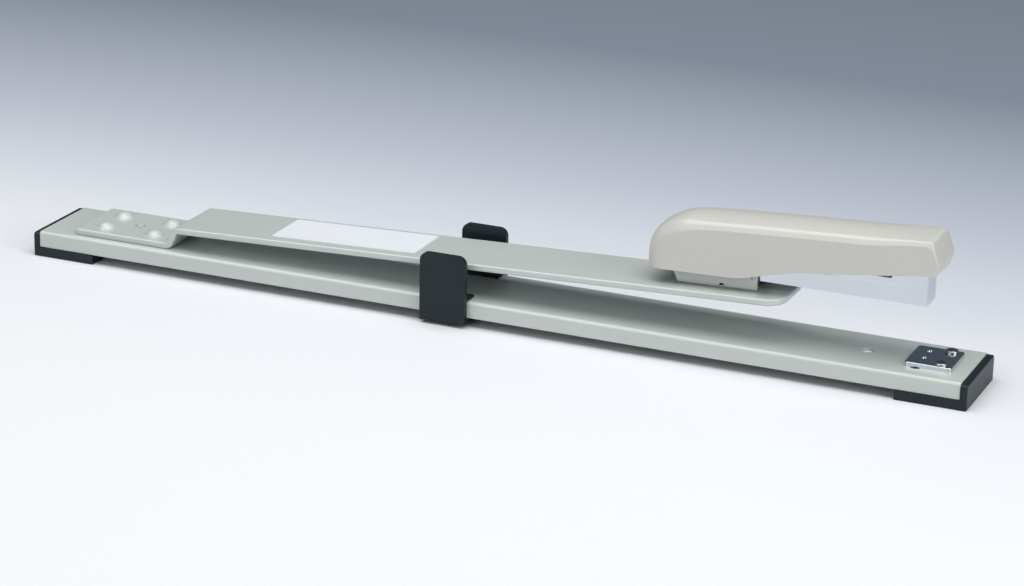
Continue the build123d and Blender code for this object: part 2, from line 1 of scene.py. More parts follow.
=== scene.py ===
"""Looks for the long-arm stapler: painted pressed steel, moulded plastic, chrome and spring wire.

Shapes are worked out in millimetres in the frame's own axes and scaled to metres when a mesh is made.
"""
import json
import math

import bpy
import bmesh
from mathutils import Matrix, Vector


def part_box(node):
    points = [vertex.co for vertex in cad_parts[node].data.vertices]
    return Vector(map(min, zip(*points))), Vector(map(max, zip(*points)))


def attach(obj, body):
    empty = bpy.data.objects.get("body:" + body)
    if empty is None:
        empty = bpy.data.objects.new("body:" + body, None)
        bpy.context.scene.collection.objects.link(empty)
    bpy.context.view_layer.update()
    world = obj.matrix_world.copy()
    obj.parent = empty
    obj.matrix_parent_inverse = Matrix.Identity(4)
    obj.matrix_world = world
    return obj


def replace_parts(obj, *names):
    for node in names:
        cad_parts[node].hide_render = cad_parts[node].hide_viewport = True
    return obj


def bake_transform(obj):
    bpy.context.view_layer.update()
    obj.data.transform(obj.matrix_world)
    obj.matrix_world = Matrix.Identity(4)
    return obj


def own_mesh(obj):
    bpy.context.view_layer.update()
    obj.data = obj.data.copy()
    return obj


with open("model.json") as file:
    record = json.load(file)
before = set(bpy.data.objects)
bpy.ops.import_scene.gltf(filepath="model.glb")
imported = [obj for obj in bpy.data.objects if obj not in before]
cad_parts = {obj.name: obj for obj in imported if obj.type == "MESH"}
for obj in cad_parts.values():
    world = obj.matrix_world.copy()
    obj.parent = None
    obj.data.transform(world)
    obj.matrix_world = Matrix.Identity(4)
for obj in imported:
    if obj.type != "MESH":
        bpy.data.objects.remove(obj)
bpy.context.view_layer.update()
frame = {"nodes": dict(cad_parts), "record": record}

MM = 0.001
SHEET_EDGE = 0.25
BASE_SHEET = 1.2
BASE_BEND = 1.6
BENCH_HOLE_X = (-179.8, 175.0)
BENCH_HOLE_RADIUS = 2.5
ANVIL_SLOT_X = 199.2
ANVIL_SLOT = (2.7, 19.6)
RIVET_HEAD_RADIUS = 4.5
RIVET_SHANK_RADIUS = 2.6
RIVET_TAIL = (4.0, 1.4)
ARM_THICK = 3.0


def box_mm(node):
    """The lowest and highest corners of a CAD node, in millimetres."""
    low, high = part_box(node)
    return Vector(low) / MM, Vector(high) / MM


# ---- outlines ---------------------------------------------------------------------------------------
def flat(points):
    return [Vector((p[0], p[1])) for p in points]


def rounded_path(points, radii, step_deg=9.0, closed=False):
    """A polyline of (a, b) points with an arc of the given radius at each corner."""
    points = flat(points)
    count = len(points)
    result = []
    for i, corner in enumerate(points):
        radius = radii[i]
        at_end = not closed and i in (0, count - 1)
        if at_end or radius <= 0:
            result.append(corner)
            continue
        to_last = (points[i - 1] - corner).normalized()
        to_next = (points[(i + 1) % count] - corner).normalized()
        half = to_last.angle(to_next) / 2
        middle = corner + (to_last + to_next).normalized() * radius / math.sin(half)
        first = corner + to_last * radius / math.tan(half) - middle
        turn = math.pi - 2 * half
        side = 1 if to_last.x * to_next.y - to_last.y * to_next.x < 0 else -1
        steps = max(2, math.ceil(math.degrees(turn) / step_deg))
        for k in range(steps + 1):
            angle = side * turn * k / steps
            cos, sin = math.cos(angle), math.sin(angle)
            result.append(middle + Vector((first.x * cos - first.y * sin, first.x * sin + first.y * cos)))
    return result


def tangent_arc(start, heading, end, steps):
    """Points on the arc that leaves start along heading and reaches end, and the heading there."""
    start, end, heading = Vector(start), Vector(end), Vector(heading).normalized()
    chord = end - start
    side = Vector((-heading.y, heading.x))
    radius = chord.length_squared / (2 * chord.dot(side))
    centre = start + side * radius
    turn = 2 * math.atan2(chord.dot(side), chord.dot(heading))
    arm = start - centre
    points = []
    for k in range(1, steps + 1):
        angle = turn * k / steps
        cos, sin = math.cos(angle), math.sin(angle)
        points.append(centre + Vector((arm.x * cos - arm.y * sin, arm.x * sin + arm.y * cos)))
    cos, sin = math.cos(turn), math.sin(turn)
    return points, Vector((heading.x * cos - heading.y * sin, heading.x * sin + heading.y * cos))


def along(path):
    """Distance along a path at each of its points."""
    total = [0.0]
    for a, b in zip(path, path[1:]):
        total.append(total[-1] + (b - a).length)
    return total


def resample(path, spacing):
    """The path with its long runs divided."""
    result = [path[0]]
    for a, b in zip(path, path[1:]):
        parts = max(1, math.ceil((b - a).length / spacing))
        result.extend(a.lerp(b, k / parts) for k in range(1, parts + 1))
    return result


def inward_normals(path):
    """Unit normals on the right-hand side of a path."""
    normals = []
    for i in range(len(path)):
        ahead = path[min(i + 1, len(path) - 1)] - path[max(i - 1, 0)]
        normals.append(Vector((ahead.y, -ahead.x)).normalized())
    return normals


def interpolate(x, xs, ys):
    """Linear interpolation in a table whose xs rise."""
    if x <= xs[0]:
        return ys[0]
    for x0, x1, y0, y1 in zip(xs, xs[1:], ys, ys[1:]):
        if x <= x1:
            return y0 + (y1 - y0) * (x - x0) / max(x1 - x0, 1e-9)
    return ys[-1]


def smoothstep(x, low, high):
    t = min(1.0, max(0.0, (x - low) / (high - low)))
    return t * t * (3 - 2 * t)


# ---- mesh helpers -----------------------------------------------------------------------------------
def make_piece(name, verts, faces, material):
    """A closed, smooth-shaded mesh object from millimetre coordinates."""
    mesh = bpy.data.meshes.new(name)
    mesh.from_pydata([Vector(v) * MM for v in verts], [], faces)
    shape = bmesh.new()
    shape.from_mesh(mesh)
    bmesh.ops.remove_doubles(shape, verts=shape.verts, dist=2e-7)
    bmesh.ops.recalc_face_normals(shape, faces=shape.faces)
    shape.to_mesh(mesh)
    shape.free()
    mesh.shade_smooth()
    mesh.materials.append(material)
    piece = bpy.data.objects.new(name, mesh)
    bpy.context.collection.objects.link(piece)
    return piece


def extrude_x(name, outline, x_low, x_high, material):
    """A closed (y, z) outline carried along X."""
    count = len(outline)
    verts = [(x, p.x, p.y) for x in (x_low, x_high) for p in outline]
    faces = [(i, (i + 1) % count, count + (i + 1) % count, count + i) for i in range(count)]
    faces += [tuple(range(count)), tuple(range(count, 2 * count))]
    return make_piece(name, verts, faces, material)


def lathe(profile, centre, segments=40):
    """Vertices and faces of a (radius, z) profile turned about a vertical axis. It starts on the axis."""
    rings = []
    verts = []
    for radius, z in profile:
        if radius < 1e-6:
            verts.append((centre[0], centre[1], centre[2] + z))
            rings.append([len(verts) - 1] * segments)
            continue
        first = len(verts)
        for k in range(segments):
            angle = 2 * math.pi * k / segments
            verts.append((centre[0] + radius * math.cos(angle), centre[1] + radius * math.sin(angle),
                          centre[2] + z))
        rings.append(list(range(first, first + segments)))
    faces = []
    for lower, upper in zip(rings, rings[1:]):
        for k in range(segments):
            face = [lower[k], lower[(k + 1) % segments], upper[(k + 1) % segments], upper[k]]
            faces.append(tuple(dict.fromkeys(face)))
    return verts, faces


def joined(parts):
    """Several (vertices, faces) lists as one."""
    verts, faces = [], []
    for part_verts, part_faces in parts:
        faces += [tuple(i + len(verts) for i in face) for face in part_faces]
        verts += part_verts
    return verts, faces


def wire(path, radius, sides=10, square=False):
    """A closed tube along 3-D points, carried without twist."""
    path = [Vector(p) for p in path]
    verts, faces = [], []
    heading = (path[1] - path[0]).normalized()
    across = heading.orthogonal().normalized() if not square else Vector((1, 0, 0))
    for i, point in enumerate(path):
        ahead = path[min(i + 1, len(path) - 1)] - path[max(i - 1, 0)]
        across = (across - ahead.normalized() * across.dot(ahead.normalized())).normalized()
        up = ahead.normalized().cross(across)
        for k in range(sides):
            angle = 2 * math.pi * (k + 0.5) / sides
            verts.append(point + (across * math.cos(angle) + up * math.sin(angle)) * radius)
    for i in range(len(path) - 1):
        for k in range(sides):
            a, b = i * sides + k, i * sides + (k + 1) % sides
            faces.append((a, b, b + sides, a + sides))
    last = (len(path) - 1) * sides
    faces += [tuple(range(sides)), tuple(range(last, last + sides))]
    return verts, faces


def soften(piece, width, segments=3, angle=35.0):
    """Small rounded edges, as on any pressed or moulded piece."""
    bevel = piece.modifiers.new("edges", "BEVEL")
    bevel.width = width * MM
    bevel.segments = segments
    bevel.limit_method = "ANGLE"
    bevel.angle_limit = math.radians(angle)
    bevel.use_clamp_overlap = True
    bevel.harden_normals = True
    return piece


def even_normals(piece):
    shading = piece.modifiers.new("shading", "WEIGHTED_NORMAL")
    shading.mode = "FACE_AREA"
    shading.keep_sharp = True
    return piece


def settle(piece):
    """Turns a piece's modifiers into its mesh."""
    bpy.context.view_layer.update()
    depsgraph = bpy.context.evaluated_depsgraph_get()
    mesh = bpy.data.meshes.new_from_object(piece.evaluated_get(depsgraph), depsgraph=depsgraph)
    mesh.name = piece.name
    piece.modifiers.clear()
    piece.data = mesh
    return piece


def cut(piece, verts, faces):
    """Takes a closed shape out of a piece."""
    tool = make_piece("tool", verts, faces, piece.data.materials[0])
    step = piece.modifiers.new("cut", "BOOLEAN")
    step.operation = "DIFFERENCE"
    step.solver = "EXACT"
    step.object = tool
    settle(piece)
    bpy.data.objects.remove(tool)
    return piece


def bar(x, y, z_low, z_high, radius, stretch_y=0.0, segments=48):
    """A closed upright bar, round or lengthened along Y, as vertices and faces."""
    ring = []
    for k in range(segments):
        angle = 2 * math.pi * k / segments
        shift = math.copysign(stretch_y / 2, math.sin(angle)) if stretch_y else 0.0
        ring.append((x + radius * math.cos(angle), y + radius * math.sin(angle) + shift))
    verts = [(a, b, z) for z in (z_low, z_high) for a, b in ring]
    faces = [(k, (k + 1) % segments, segments + (k + 1) % segments, segments + k) for k in range(segments)]
    faces += [tuple(range(segments)), tuple(range(segments, 2 * segments))]
    return verts, faces


def block(low, high):
    """A box from its lowest to its highest corner, as vertices and faces."""
    verts = [(x, y, z) for x in (low[0], high[0]) for y in (low[1], high[1]) for z in (low[2], high[2])]
    faces = [(0, 1, 3, 2), (4, 6, 7, 5), (0, 4, 5, 1), (2, 3, 7, 6), (0, 2, 6, 4), (1, 5, 7, 3)]
    return verts, faces


def seat(piece, body, slot, *nodes):
    """The piece rides on a body and stands for CAD nodes; its slot argument is not used."""
    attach(piece, body)
    if nodes:
        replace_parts(piece, *nodes)
    return piece


# ---- materials --------------------------------------------------------------------------------------
def node_at(tree, kind, **values):
    node = tree.nodes.new(kind)
    for key, value in values.items():
        if hasattr(node, key):
            setattr(node, key, value)
        else:
            node.inputs[key.replace("_", " ").title()].default_value = value
    return node


def surface(name, color, roughness, metallic=0.0, spread=0.03, patch=60.0, grain=1500.0, relief=0.01,
            rough_spread=0.05, stretch=(1.0, 1.0, 1.0), **shader_values):
    """A procedural finish: slow colour drift, uneven gloss and a fine grain in the surface."""
    material = bpy.data.materials.new(name)
    material.use_nodes = True
    tree = material.node_tree
    shader = tree.nodes["Principled BSDF"]
    shader.inputs["Metallic"].default_value = metallic
    for key, value in shader_values.items():
        shader.inputs[key.replace("_", " ").title().replace("Ior", "IOR")].default_value = value
    place = tree.nodes.new("ShaderNodeTexCoord")
    scaled = tree.nodes.new("ShaderNodeMapping")
    scaled.inputs["Scale"].default_value = stretch
    tree.links.new(place.outputs["Object"], scaled.inputs["Vector"])

    drift = node_at(tree, "ShaderNodeTexNoise", Scale=patch, Detail=4.0, Roughness=0.55)
    tree.links.new(scaled.outputs["Vector"], drift.inputs["Vector"])
    ramp = tree.nodes.new("ShaderNodeValToRGB")
    ramp.color_ramp.elements[0].position = 0.3
    ramp.color_ramp.elements[1].position = 0.7
    ramp.color_ramp.elements[0].color = [c * (1 - spread) for c in color] + [1]
    ramp.color_ramp.elements[1].color = [min(1.0, c * (1 + spread)) for c in color] + [1]
    tree.links.new(drift.outputs["Fac"], ramp.inputs["Fac"])
    tree.links.new(ramp.outputs["Color"], shader.inputs["Base Color"])

    gloss = node_at(tree, "ShaderNodeMapRange")
    gloss.inputs["To Min"].default_value = max(0.02, roughness - rough_spread)
    gloss.inputs["To Max"].default_value = roughness + rough_spread
    smudge = node_at(tree, "ShaderNodeTexNoise", Scale=patch * 2.3, Detail=5.0, Roughness=0.6)
    tree.links.new(scaled.outputs["Vector"], smudge.inputs["Vector"])
    tree.links.new(smudge.outputs["Fac"], gloss.inputs["Value"])
    tree.links.new(gloss.outputs["Result"], shader.inputs["Roughness"])

    fine = node_at(tree, "ShaderNodeTexNoise", Scale=grain, Detail=3.0, Roughness=0.5)
    tree.links.new(scaled.outputs["Vector"], fine.inputs["Vector"])
    bump = node_at(tree, "ShaderNodeBump", Strength=0.35, Distance=relief * MM)
    tree.links.new(fine.outputs["Fac"], bump.inputs["Height"])
    tree.links.new(bump.outputs["Normal"], shader.inputs["Normal"])
    return material


FINISH = {
    "grey_green_paint": surface("grey_green_paint", (0.5, 0.537, 0.507), 0.38, spread=0.015, patch=25.0,
                                grain=900.0, relief=0.012, Coat_Weight=0.7, Coat_Roughness=0.14),
    "black_plastic": surface("black_plastic", (0.008, 0.016, 0.02), 0.4, spread=0.12, patch=90.0,
                             grain=2600.0, relief=0.015, rough_spread=0.06, Specular_IOR_Level=0.3),
    "ivory_plastic": surface("ivory_plastic", (0.535, 0.53, 0.485), 0.33, spread=0.012, patch=30.0,
                             grain=2200.0, relief=0.006, Coat_Weight=0.15, Coat_Roughness=0.15),
    "chrome_plate": surface("chrome_plate", (0.6, 0.63, 0.67), 0.13, 1.0, spread=0.015, patch=45.0,
                            grain=1200.0, relief=0.004, rough_spread=0.03),
    "bare_steel": surface("bare_steel", (0.5, 0.51, 0.52), 0.3, 1.0, spread=0.06, patch=120.0, grain=900.0,
                          relief=0.01, stretch=(1.0, 8.0, 8.0)),
    "spring_steel": surface("spring_steel", (0.36, 0.37, 0.39), 0.28, 1.0, spread=0.08, patch=200.0),
    "screw_steel": surface("screw_steel", (0.38, 0.39, 0.4), 0.3, 1.0, spread=0.04, patch=150.0),
    "staple_wire": surface("staple_wire", (0.68, 0.69, 0.7), 0.22, 1.0, spread=0.05, patch=300.0),
    "label_paper": surface("label_paper", (0.74, 0.755, 0.79), 0.38, spread=0.01, patch=40.0, grain=3000.0,
                           relief=0.004),
}


# ---- base -------------------------------------------------------------------------------------------
def base_channel():
    low, high = box_mm("base_channel")
    half, top = high.y, high.z
    inner, under = half - BASE_SHEET, top - BASE_SHEET
    inner_bend = BASE_BEND - BASE_SHEET
    outside = [(-half, low.z), (-half, top), (half, top), (half, low.z)]
    inside = [(inner, low.z), (inner, under), (-inner, under), (-inner, low.z)]
    radii = [0, BASE_BEND, BASE_BEND, 0, 0, inner_bend, inner_bend, 0]
    outline = rounded_path(outside + inside, radii, closed=True)
    piece = extrude_x("base_channel_pressing", outline, low.x, high.x, FINISH["grey_green_paint"])
    for x in BENCH_HOLE_X:
        cut(piece, *bar(x, 0, low.z, top + 5, BENCH_HOLE_RADIUS))
    slot_radius, slot_reach = ANVIL_SLOT
    cut(piece, *bar(ANVIL_SLOT_X, 0, top - 5, top + 5, slot_radius, stretch_y=slot_reach))
    soften(piece, SHEET_EDGE)
    return seat(piece, "base", "grey_green_paint", "base_channel")


def rivet_heads():
    """Domed, painted rivets with a small fillet of paint round each head."""
    low, high = box_mm("arm_rivets")
    seat_z = box_mm("arm_mount_plate")[0].z + ARM_THICK
    radius, rise = RIVET_HEAD_RADIUS, high.z - seat_z
    ball = (radius ** 2 + rise ** 2) / (2 * rise)
    start = math.asin(radius / ball)
    angles = [start * k / 10 for k in range(11)]
    dome = [(ball * math.sin(angle), ball * math.cos(angle) - ball + rise) for angle in angles]
    tail_radius, tail_depth = RIVET_TAIL
    shank = RIVET_SHANK_RADIUS
    skirt = [(radius + 0.12, -0.05), (radius, -0.4), (shank, -0.4), (shank, low.z + tail_depth - seat_z)]
    skirt += [(tail_radius, low.z + tail_depth - seat_z), (tail_radius, low.z + 0.3 - seat_z)]
    skirt += [(tail_radius - 0.3, low.z - seat_z), (0, low.z - seat_z)]
    xs = (low.x + radius, high.x - radius)
    ys = (low.y + radius, high.y - radius)
    parts = [lathe(dome + skirt, (x, y, seat_z)) for x in xs for y in ys]
    piece = make_piece("painted_rivets", *joined(parts), FINISH["grey_green_paint"])
    even_normals(piece)
    return seat(piece, "base", "grey_green_paint", "arm_rivets")


# ---- arm --------------------------------------------------------------------------------------------
ARM_EDGE = 0.8
ARM_SLOPE = 0.0375
ARM_TOP_AT_CRANK = 22.9
ARM_FOOT_CORNER, ARM_TIP_CORNER = 1.6, 9.0
CRANK_FROM_REAR = (48.4, 52.3)
CRANK_HALF_ANGLE = math.radians(31.86)
CRANK_BEND = 2.2


def arm_strip():
    """The spring-steel strip in one piece, from its riveted foot over the crank to its rounded tip."""
    foot_low, foot_high = box_mm("arm_mount_plate")
    tip_high = box_mm("arm")[1]
    half = tip_high.y
    mid = ARM_THICK / 2
    crank_foot, crank_top = (foot_low.x + x for x in CRANK_FROM_REAR)
    foot_z = foot_low.z + mid
    top_z = ARM_TOP_AT_CRANK - mid
    lead = mid * math.tan(CRANK_HALF_ANGLE)
    end_z = top_z + ARM_SLOPE * (tip_high.x - crank_top)
    crank = [(crank_foot + lead, foot_z), (crank_top + lead, top_z)]
    corners = [(foot_low.x, foot_z), *crank, (tip_high.x, end_z)]
    path = resample(rounded_path(corners, [0, CRANK_BEND, CRANK_BEND, 0], step_deg=8), 6.0)
    normals = [-n for n in inward_normals(path)]
    places = along(path)
    total = places[-1]

    def at(s, lift):
        """The point at distance s along the strip and a height above its middle."""
        for i in range(len(places) - 1):
            if s <= places[i + 1] or i == len(places) - 2:
                t = (s - places[i]) / (places[i + 1] - places[i])
                spot = path[i].lerp(path[i + 1], t)
                normal = normals[i].lerp(normals[i + 1], t).normalized()
                return spot + normal * lift

    def half_outline(inset):
        """(s, y) points along one side, from the foot's end to the tip's end."""
        result = []
        foot_r, tip_r = ARM_FOOT_CORNER, ARM_TIP_CORNER
        for k in range(7):
            angle = math.pi / 2 * k / 6
            r = foot_r - inset
            result.append((foot_r - r * math.cos(angle), half - foot_r + r * math.sin(angle)))
        result += [(s, half - inset) for s in places if foot_r + 1 < s < total - tip_r - 1]
        for k in range(13):
            angle = math.pi / 2 * k / 12
            r = tip_r - inset
            result.append((total - tip_r + r * math.sin(angle), half - tip_r + r * math.cos(angle)))
        return result

    layers = []
    for k in range(6):
        angle = math.pi / 2 * k / 5
        layers.append((ARM_EDGE * (1 - math.sin(angle)), mid - ARM_EDGE * (1 - math.cos(angle))))
    layers += [(inset, -lift) for inset, lift in reversed(layers)]
    verts, faces = [], []
    for inset, lift in layers:
        for sign in (1, -1):
            for s, y in half_outline(inset):
                spot = at(s, lift)
                verts.append((spot.x, sign * y, spot.y))
    count = len(half_outline(0))
    ring = list(range(count)) + list(range(2 * count - 1, count - 1, -1))
    size = 2 * count
    for layer in range(len(layers) - 1):
        first, second = layer * size, (layer + 1) * size
        for a, b in zip(ring, ring[1:] + ring[:1]):
            faces.append((first + a, first + b, second + b, second + a))
    for start in (0, (len(layers) - 1) * size):
        for k in range(count - 1):
            faces.append((start + k, start + k + 1, start + count + k + 1, start + count + k))
    piece = make_piece("arm_spring_strip", verts, faces, FINISH["grey_green_paint"])
    cut(piece, *bar(BENCH_HOLE_X[0], 0, foot_low.z - 3, foot_high.z + 3, BENCH_HOLE_RADIUS))
    even_normals(piece)
    settle(piece)
    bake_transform(piece)
    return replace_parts(piece, "arm", "arm_mount_plate")


# ---- handle cover -----------------------------------------------------------------------------------
COVER_WALL = 1.9
COVER_REAR = (0.0, 6.0)
COVER_HEEL_TOP = (6.4, 19.0)
COVER_CROWN = (21.2, 24.6)
COVER_BROW = (127.7, 30.0)
COVER_CHIN = (131.6, 19.8)
COVER_LIP = (130.6, 15.3)
COVER_GRIP = (68.2, 7.6)
COVER_HEEL = (43.2, 1.1)
COVER_NOSE_RADIUS = 2.4
COVER_RIM_RADII = (5.9, 30, 30)
SIDE_DRAFT = 0.3
BRACKET_PASS = 9.2


def cover_roof_path():
    """The cover's outline in the side view, from its rear rim over the roof to its front lip."""
    low = box_mm("handle_cover")[0]

    def spot(point):
        return Vector((low.x + point[0], low.z + point[1]))

    rear, heading = tangent_arc(spot(COVER_REAR), (0, 1), spot(COVER_HEEL_TOP), 12)
    crown, heading = tangent_arc(spot(COVER_HEEL_TOP), heading, spot(COVER_CROWN), 10)
    roof, heading = tangent_arc(spot(COVER_CROWN), heading, spot(COVER_BROW), 30)
    nose = [roof[-2], roof[-1], spot(COVER_CHIN), spot(COVER_LIP)]
    front = rounded_path(nose, [0, COVER_NOSE_RADIUS, COVER_NOSE_RADIUS, 0], step_deg=9)
    return resample([spot(COVER_REAR)] + rear + crown + roof[:-2] + front, 3.5)


def cover_rim_path():
    """The cover's open lower edge in the side view, from the rear wall to the front lip."""
    low = box_mm("handle_cover")[0]
    corner = [COVER_REAR, (0.0, 0.0), COVER_HEEL, COVER_GRIP, COVER_LIP]
    points = [(low.x + x, low.z + z) for x, z in corner]
    return rounded_path(points, [0, *COVER_RIM_RADII, 0], step_deg=5)


def eased_corner(before, corner, after, reach, steps):
    """Points of a smooth turn at a corner, starting and ending at the given reach from it."""
    first = corner + (before - corner).normalized() * reach
    last = corner + (after - corner).normalized() * reach
    ts = [k / steps for k in range(steps + 1)]
    return [first * (1 - t) ** 2 + corner * 2 * t * (1 - t) + last * t ** 2 for t in ts]


def cover_section(width, at_rear, at_nose, on_face):
    """Half of the shell's section as (y, depth): crowned roof, sloping shoulder, then the side."""
    across = (1.3 + 2.6 * at_rear - 0.2 * at_nose) * (1 - on_face) + 0.5 * on_face
    down = (2.8 + 1.6 * at_rear - 0.7 * at_nose) * (1 - on_face) + 0.5 * on_face
    crown = 1.5 - 0.3 * at_rear - 1.0 * at_nose
    edge = width - across
    shoulder = Vector((edge, crown))
    side = Vector((width, crown + down))
    ease = (1.7 + 0.9 * at_rear - 1.0 * at_nose) * (1 - on_face) + 0.3 * on_face
    roof_end = edge - ease
    roof = [Vector((roof_end * k / 8, crown * (roof_end * k / 8 / edge) ** 2)) for k in range(8)]
    turn = eased_corner(Vector((roof_end, crown * (roof_end / edge) ** 2)), shoulder, side, ease, 8)
    lower = eased_corner(shoulder, side, side + Vector((0, 5)), 0.3 + 1.5 * at_rear * (1 - on_face), 5)
    return roof + turn + lower


def cover_shell():
    """The moulded shell: a crowned roof, sloping shoulders, and slightly drafted sides."""
    low, high = box_mm("handle_cover")
    path = cover_roof_path()
    places = along(path)
    total = places[-1]
    sharp = inward_normals(path)
    normals = []
    for i, s in enumerate(places):
        mixed = Vector((0, 0))
        reach = 1.0 + 5.0 * smoothstep(path[i].x, low.x + 105, low.x + 122)
        for other, normal in zip(places, sharp):
            mixed += normal * max(0.0, 1 - abs(other - s) / reach)
        normals.append(mixed.normalized())
    rim = cover_rim_path()
    rim_x, rim_z = [p.x for p in rim], [p.y for p in rim]
    half = high.y
    side_steps = 10
    rows = []
    for i, (point, normal) in enumerate(zip(path, normals)):
        x = point.x - low.x
        at_nose = smoothstep(x, 96, 124)
        width = half - 0.7 * at_nose
        at_rear = 1 - smoothstep(x, 5, 34)
        row = cover_section(width - SIDE_DRAFT, at_rear, at_nose, smoothstep(x, 127.5, 129.5))
        spots = [(point.x + normal.x * depth, y, point.y + normal.y * depth) for y, depth in row]
        if i in (0, len(path) - 1):
            spots = [(px, py, interpolate(px, rim_x, rim_z)) for px, py, _ in spots]
        rows.append((spots, width))
    first_x, last_x = rows[0][0][-1][0], rows[-1][0][-1][0]
    verts, faces = [], []
    for i, (spots, width) in enumerate(rows):
        foot_x = first_x + (last_x - first_x) * places[i] / total
        foot_width = half - 0.7 * smoothstep(foot_x - low.x, 96, 124)
        pull_in = SIDE_DRAFT if i in (0, len(rows) - 1) else 0
        foot = Vector((foot_x, foot_width - pull_in, interpolate(foot_x, rim_x, rim_z)))
        start = Vector(spots[-1])
        side = [tuple(start.lerp(foot, k / side_steps)) for k in range(1, side_steps + 1)]
        half_row = spots + side
        verts += [(x, -y, z) for x, y, z in reversed(half_row[1:])] + half_row
    count = 2 * (len(rows[0][0]) + side_steps) - 1
    for i in range(len(rows) - 1):
        for k in range(count - 1):
            a = i * count + k
            faces.append((a, a + 1, a + count + 1, a + count))
    piece = make_piece("handle_cover_shell", verts, faces, FINISH["ivory_plastic"])
    wall = piece.modifiers.new("wall", "SOLIDIFY")
    wall.thickness = COVER_WALL * MM
    wall.offset = -1
    wall.use_even_offset = False
    settle(piece)
    inner_face = low.x + COVER_WALL
    cut(piece, *block((inner_face, -BRACKET_PASS, low.z - 1), (inner_face + 6, BRACKET_PASS, low.z + 8)))
    soften(piece, 0.35, angle=60)
    even_normals(piece)
    return seat(piece, "handle", "ivory_plastic", "handle_cover")


# ---- paper guide ------------------------------------------------------------------------------------
def paper_guide():
    """The sliding saddle: two fences with rounded tops, joined under the base, with a lip over each edge."""
    low, high = box_mm("paper_guide")
    wall, radius, bridge = 2.6, 3.8, 2.5
    lip_in, lip_low, lip_high = 13.2, 12.05, 13.05
    outer, inner = high.y, high.y - wall
    half = [(outer, low.z), (outer, high.z), (inner, high.z), (inner, lip_high)]
    half += [(lip_in, lip_high), (lip_in, lip_low), (inner, lip_low), (inner, low.z + bridge)]
    outline = half + [(-y, z) for y, z in reversed(half)]
    stations = []
    for k in range(9):
        angle = math.pi / 2 * k / 8
        stations.append((low.x + radius * (1 - math.cos(angle)), high.z - radius * (1 - math.sin(angle))))
    stations += [(low.x + high.x - x, z) for x, z in reversed(stations)]
    verts, faces = [], []
    for x, top in stations:
        verts += [(x, y, top if z == high.z else z) for y, z in outline]
    count = len(outline)
    for i in range(len(stations) - 1):
        for k in range(count):
            a, b = i * count + k, i * count + (k + 1) % count
            faces.append((a, b, b + count, a + count))
    last = (len(stations) - 1) * count
    faces += [tuple(range(count)), tuple(range(last, last + count))]
    piece = make_piece("sliding_guide", verts, faces, FINISH["black_plastic"])
    soften(piece, 0.45)
    return seat(piece, "guide", "black_plastic", "paper_guide")


# ---- springs and staples ----------------------------------------------------------------------------
def helix(start, end, radius, turns, per_turn=20):
    """Points of a coil from start to end, with closed end turns."""
    start, end = Vector(start), Vector(end)
    axis = (end - start).normalized()
    across = axis.orthogonal().normalized()
    up = axis.cross(across)
    points = []
    steps = int(turns * per_turn)
    for k in range(steps + 1):
        t = k / steps
        rise = smoothstep(t, -0.02, 1.02) * 0.15 + t * 0.85
        angle = 2 * math.pi * turns * t
        points.append(start.lerp(end, rise) + (across * math.cos(angle) + up * math.sin(angle)) * radius)
    return points


def pusher_spring():
    low, high = box_mm("pusher_spring")
    middle = (low + high) / 2
    gauge = 0.35
    start = (low.x + gauge / 2, middle.y, middle.z)
    end = (high.x - gauge / 2, middle.y, middle.z)
    points = helix(start, end, (high.z - low.z - gauge) / 2, 24, 16)
    piece = make_piece("pusher_coil", *wire(points, gauge / 2, 8), FINISH["spring_steel"])
    seat(piece, "magazine", "spring_steel", "pusher_spring")
    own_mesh(piece)
    return piece


def handle_spring():
    low, high = box_mm("handle_spring")
    middle = (low + high) / 2
    gauge, play = 0.8, 1.2
    start = (middle.x, middle.y, low.z + gauge / 2)
    end = (middle.x, middle.y, high.z - gauge / 2 - play)
    points = helix(start, end, (high.x - low.x - gauge) / 2, 7, 28)
    piece = make_piece("handle_coil", *wire(points, gauge / 2, 12), FINISH["spring_steel"])
    return seat(piece, "magazine", "spring_steel", "handle_spring")


def staple_row():
    """Single staples, side by side, each one bent from square wire."""
    low, high = box_mm("staple_strip")
    gauge = 0.5
    count = round((high.x - low.x) / gauge)
    half = high.y - gauge / 2
    corners = [(-half, low.z), (-half, high.z - gauge / 2), (half, high.z - gauge / 2), (half, low.z)]
    path = rounded_path(corners, [0, 0.4, 0.4, 0], step_deg=20)
    parts = []
    for k in range(count):
        x = low.x + gauge * (k + 0.5)
        parts.append(wire([(x, p.x, p.y) for p in path], gauge * 0.68, 4, square=True))
    piece = make_piece("staple_row", *joined(parts), FINISH["staple_wire"])
    return seat(piece, "magazine", "staple_wire", "staple_strip")


# ---- CAD pieces that keep their shape ------------------------------------------------------------------
SOFT_EDGES = {"front_end_cap": 0.35, "rear_end_cap": 0.35, "head_bracket": 0.12}


def dress(name, slot, edge=0.0):
    """A CAD piece gets its finish and, where it shows, softened edges."""
    node = frame["nodes"][name]
    node.data.materials.clear()
    node.data.materials.append(FINISH[slot])
    if edge:
        weld = node.modifiers.new("weld", "WELD")
        weld.merge_threshold = 1e-6
        soften(node, edge)


base_channel()
rivet_heads()
arm_strip()
cover_shell()
paper_guide()
pusher_spring()
handle_spring()
staple_row()
for part in frame["record"]["subparts"]:
    if not frame["nodes"][part["node"]].hide_render:
        dress(part["node"], part["material_slot"], SOFT_EDGES.get(part["node"], 0.0))


